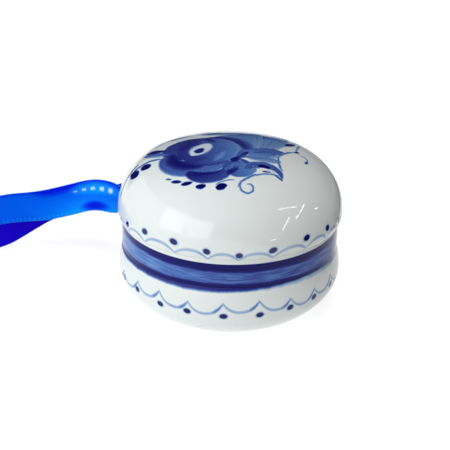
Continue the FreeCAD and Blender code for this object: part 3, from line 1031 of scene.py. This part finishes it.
path = step("MeshToCurve", Mesh=source.outputs["Geometry"])
loop = step("MeshIcoSphere", Radius=source.outputs["Loop"])
count = step("ResampleCurve", Curve=path.outputs[0])
count.mode = "LENGTH"
selvage.links.new(source.outputs["Spacing"], count.inputs["Length"])
loops = step("InstanceOnPoints", Points=count.outputs[0], Instance=loop.outputs[0])
whole = step("RealizeInstances", Geometry=loops.outputs[0])
for label, value in (("outside", 1.0), ("across", EDGE_ACROSS)):
    named = step("StoreNamedAttribute", Geometry=whole.outputs[0])
    named.data_type = "FLOAT"
    named.inputs["Name"].default_value = label
    named.inputs["Value"].default_value = value
    whole = named
dressed = step("SetMaterial", Geometry=whole.outputs[0])
dressed.inputs["Material"].default_value = satin
selvage.links.new(dressed.outputs[0], target.inputs[0])
print("the selvage's tree has", len(selvage.nodes), "nodes")

# %% Loops on both edges of each strip
FACES_OF_A_LOOP = 20


def add_selvage(piece, edges):
    """Sets the loops along both edges of a strip and joins them to it."""
    points = np.concatenate(edges)
    chain = [(i, i + 1) for i in range(len(points) - 1) if i != len(edges[0]) - 1]
    mesh = bpy.data.meshes.new("edges")
    mesh.from_pydata(points.tolist(), chain, [])
    carrier = put("edges", mesh)
    carrier.modifiers.new("selvage", "NODES").node_group = selvage
    loops = plain_mesh(carrier)
    both = bmesh.new()
    both.from_mesh(piece.data)
    both.from_mesh(loops)
    both.to_mesh(piece.data)
    both.free()
    print(piece.name, "with", len(loops.polygons) // FACES_OF_A_LOOP, "loops")
    bpy.data.meshes.remove(loops)


for piece, edges in ((near, near_edges), (far, far_edges), (long_tail, long_edges), (short_tail, short_edges)):
    add_selvage(piece, edges)

# %% [markdown]
# ## The floor
#
# The ornament lies on white paper. A floor that is lit until it looks white would flood the clay with light, so Light
# Path tells apart what it lights and what is seen: the pieces are lit by a pale grey, and the camera and the glaze see
# a near white that still takes the shadow.

# %% White paper
PAPER_SHADE, PAPER_GLOW = 0.42, 0.155
SEEN_SHADE, SEEN_GLOW = 0.55, 0.72
MATT_ROUGHNESS = 0.9
FLOOR_HALF = 3


def rectangle(name, centre, right, up):
    """A flat stage piece round a centre, reaching right and up by two vectors."""
    centre, right, up = Vector(centre), Vector(right), Vector(up)
    corners = [centre - right - up, centre + right - up, centre + right + up, centre - right + up]
    mesh = bpy.data.meshes.new(name)
    mesh.from_pydata([tuple(c) for c in corners], [], [(0, 1, 2, 3)])
    made = put(name, mesh)
    return made


def matt(shader, shade):
    """Makes a shader a plain grey without gloss."""
    shader.inputs["Base Color"].default_value = (shade, shade, shade, 1)
    shader.inputs["Roughness"].default_value = MATT_ROUGHNESS
    shader.inputs["Specular IOR Level"].default_value = 0.0


def as_seen(tree, lighting, seen, output):
    """Gives one shader's light to the pieces, and another to the camera and to what the glaze mirrors."""
    path = tree.nodes.new("ShaderNodeLightPath")
    shown, *others = [Field(tree, path.outputs[f"Is {ray} Ray"]) for ray in ("Camera", "Glossy", "Transmission")]
    for ray in others:
        shown = shown.at_least(ray)
    mix = tree.nodes.new("ShaderNodeMixShader")
    tree.links.new(shown.socket, mix.inputs[0])
    tree.links.new(lighting.outputs[0], mix.inputs[1])
    tree.links.new(seen.outputs[0], mix.inputs[2])
    tree.links.new(mix.outputs[0], output.inputs["Surface"])


floor = rectangle("floor", (0, 0, 0), (FLOOR_HALF, 0, 0), (0, FLOOR_HALF, 0))
floor_material, tree, lighting = new_material("floor")
seen = tree.nodes.new("ShaderNodeBsdfPrincipled")
for shader, shade, strength in ((lighting, PAPER_SHADE, PAPER_GLOW), (seen, SEEN_SHADE, SEEN_GLOW)):
    matt(shader, shade)
    shader.inputs["Emission Color"].default_value = (1, 1, 1, 1)
    shader.inputs["Emission Strength"].default_value = strength
as_seen(tree, lighting, seen, tree.nodes["Material Output"])
floor.data.materials.append(floor_material)
print("floor", tuple(round(c, 1) for c in floor.dimensions))

# %% [markdown]
# ## Flags
#
# In an all-white room a glaze is veiled by white, and its edges melt into the background. A photographer sets dark
# cards, called flags, round a glossy thing and outside the picture, so that its glaze mirrors those. Here flags stand
# behind, in front, above and at the right, and one lies on the table at the right. The left stays open, where the glaze
# is bright. They are only there for the glaze: the camera doesn't see them, and they take no light from the pieces.

# %% Dark cards round the ornament
FLAG_SHADE = 0.08
FLAG_AWAY, FLAG_UP, FLAG_ABOVE = 1.6, 1.0, 2.0
FLAGS = (
    ("flag_behind", (0, FLAG_AWAY, FLAG_UP), (FLAG_AWAY, 0, 0), (0, 0, FLAG_UP)),
    ("flag_right", (FLAG_AWAY, 0, FLAG_UP), (0, FLAG_AWAY, 0), (0, 0, FLAG_UP)),
    ("flag_beside", (0.36, 0.1, 0.001), (0.3, 0, 0), (0, 0.6, 0)),
    ("flag_front", (0, -FLAG_AWAY, FLAG_UP), (FLAG_AWAY, 0, 0), (0, 0, FLAG_UP)),
    ("flag_above", (0, 0, FLAG_ABOVE), (FLOOR_HALF, 0, 0), (0, FLOOR_HALF, 0)),
)
flag_material, tree, shader = new_material("flag")
matt(shader, FLAG_SHADE)
for name, centre, right, up in FLAGS:
    flag = rectangle(name, centre, right, up)
    flag.data.materials.append(flag_material)
    flag.visible_camera = flag.visible_diffuse = flag.visible_shadow = False
print("flags:", [name for name, *_ in FLAGS])

# %% [markdown]
# ## The light
#
# Daylight comes from a window at the left, with a softer fill from the front and above. How a lamp looks in the glaze
# and how much it lights the clay are set apart here, so that each can follow the picture: the two panes are only
# mirrored, and the other lamps only light. The thin streaks at the right are mirrored strips of light. Each is given
# by the place on the dome where it is seen and by the two directions between which it lies.

# %% Panes and soft lamps
DAYLIGHT, SIDELIGHT, PLAIN, WARM = (0.97, 1.0, 1.0), (0.96, 1.0, 1.0), (1, 1, 1), (1.0, 0.945, 0.94)
PAPER_PLACE, PAPER_SIZE, PAPER_POWER = (-0.13, -0.08, 0.0005), (0.3, 0.2), 0.06


def direction(azimuth, elevation):
    """The way to a place in the sky, from two angles in degrees."""
    a, e = math.radians(azimuth), math.radians(elevation)
    return Vector((math.cos(a) * math.cos(e), math.sin(a) * math.cos(e), math.sin(e)))


def area_light(name, place, facing, along, size, power, colour=PLAIN):
    """A rectangle of light at a place, its back towards facing and its length along a direction."""
    light = bpy.data.lights.new(name, "AREA")
    light.shape = "RECTANGLE"
    light.size, light.size_y = size
    light.energy = power
    light.color = colour
    made = put(name, light)
    back = facing.normalized()
    side = (along - back * along.dot(back)).normalized()
    made.location = place
    made.rotation_mode = "QUATERNION"
    made.rotation_quaternion = Matrix((side, back.cross(side), back)).transposed().to_quaternion()
    made.visible_camera = False
    return made


for name, azimuth, elevation, distance, size, power, colour in (
    ("left_pane", -149, 18, 1.2, (0.53, 0.72), 2.8, DAYLIGHT),
    ("right_pane", -121, 14, 1.2, (0.53, 0.76), 3.2, DAYLIGHT),
    ("window", -135, 16, 1.2, (1.12, 0.8), 4.0, DAYLIGHT),
    ("side", -172, 5, 1.2, (0.8, 0.8), 6.9, SIDELIGHT),
    ("ceiling", -60, 86, 1.5, (1.2, 1.2), 10.8, PLAIN),
    ("fill", -88, 38, 1.5, (1.0, 1.0), 6.6, WARM),
):
    way = direction(azimuth, elevation)
    made = area_light(name, AIM + way * distance, way, way.cross(Vector((0, 0, 1))), size, power, colour)
    made.visible_glossy = name.endswith("pane")
    made.visible_diffuse = not made.visible_glossy
paper = area_light("paper", Vector(PAPER_PLACE), Vector((0, 0, -1)), Vector((1, 0, 0)), PAPER_SIZE, PAPER_POWER)
paper.visible_glossy = False
print("lamps:", len(bpy.data.lights))

# %% Strips that are only mirrored
STRIP_POWER = 26.0  # watts for a square metre
for number, (point, start, end, wide, far_away) in enumerate((
    ((11.1, -18.5, 29.4), (-27.6, 42.5), (-8.0, 32.1), 0.03, 1.0),
    ((13.6, -17.4, 28.5), (4.1, 29.0), (-19.7, 19.1), 0.03, 1.0),
    ((10.7, -20.3, 27.0), (-25.9, 24.4), (-37.3, 8.0), 0.03, 1.0),
    ((16.8, -14.9, 28.1), (9.3, 14.6), (12.8, 11.7), 0.03, 1.0),
    ((8.8, -22.1, 24.4), (-49.8, -5.6), (-41.6, -4.6), 0.004, 0.15),
)):
    first, last = direction(*start) * far_away, direction(*end) * far_away
    middle = (first + last) / 2
    length = (last - first).length
    at, power = Vector(point) * MM + middle, STRIP_POWER * length * wide
    strip = area_light(f"lamp_{number}", at, middle, last - first, (length, wide), power)
    strip.visible_diffuse = False
print("lamps with the strips:", len(bpy.data.lights))

# %% [markdown]
# ## The room
#
# The room round the table gives a little even light, as a real one does. The camera and the glaze see it as white, by
# the same Light Path switch as the floor, because raising its strength until it looks white would light the pieces too.

# %% The world
ROOM_LIGHT, ROOM_COLOUR = 0.04, (0.95, 0.98, 1.0, 1)
world = bpy.data.worlds.new("world")
world.use_nodes = True
bpy.context.scene.world = world
world_tree = world.node_tree
background = world_tree.nodes["Background"]
background.inputs["Color"].default_value = ROOM_COLOUR
background.inputs["Strength"].default_value = ROOM_LIGHT
white = world_tree.nodes.new("ShaderNodeBackground")
white.inputs["Color"].default_value = (1, 1, 1, 1)
as_seen(world_tree, background, white, world_tree.nodes["World Output"])
print("room light", ROOM_LIGHT)

# %% [markdown]
# ## What moves with what
#
# The rest of the loop swings with the knot: the tails and the knot ride with the loop. The strands are baked where
# they lie, and the plain solids that the strands, the tails and the knot replace are hidden. A stiff strand would tear
# away from its hole when the loop is lifted. The lengths of both strands are measured along their routes.

# %% Baked strands, and what rides with the loop
for piece, mouth, node in ((near, near_mouth, "ribbon_near_strand"), (far, far_mouth, "ribbon_far_strand")):
    mouth - outward * 0.4 * MM
    mouth + outward * 3.0 * MM
    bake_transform(piece)
    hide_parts(node)
for piece, node in ((long_tail, "ribbon_long_tail"), (short_tail, "ribbon_short_tail"), (knot_piece, "ribbon_knot")):
    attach(piece, "ribbon_loop")
    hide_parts(node)
print("bending:", near.name, far.name)

# %% The strands' lengths


def measured(path):
    """The length of a path."""
    return float(np.linalg.norm(np.diff(path, axis=0), axis=1).sum())


print("strands of", round(measured(near_path) / MM, 1), "and", round(measured(far_path) / MM, 1), "mm")

# %% [markdown]
# ## The size
#
# The woven ribbon has to stay in the box of the plain solids.
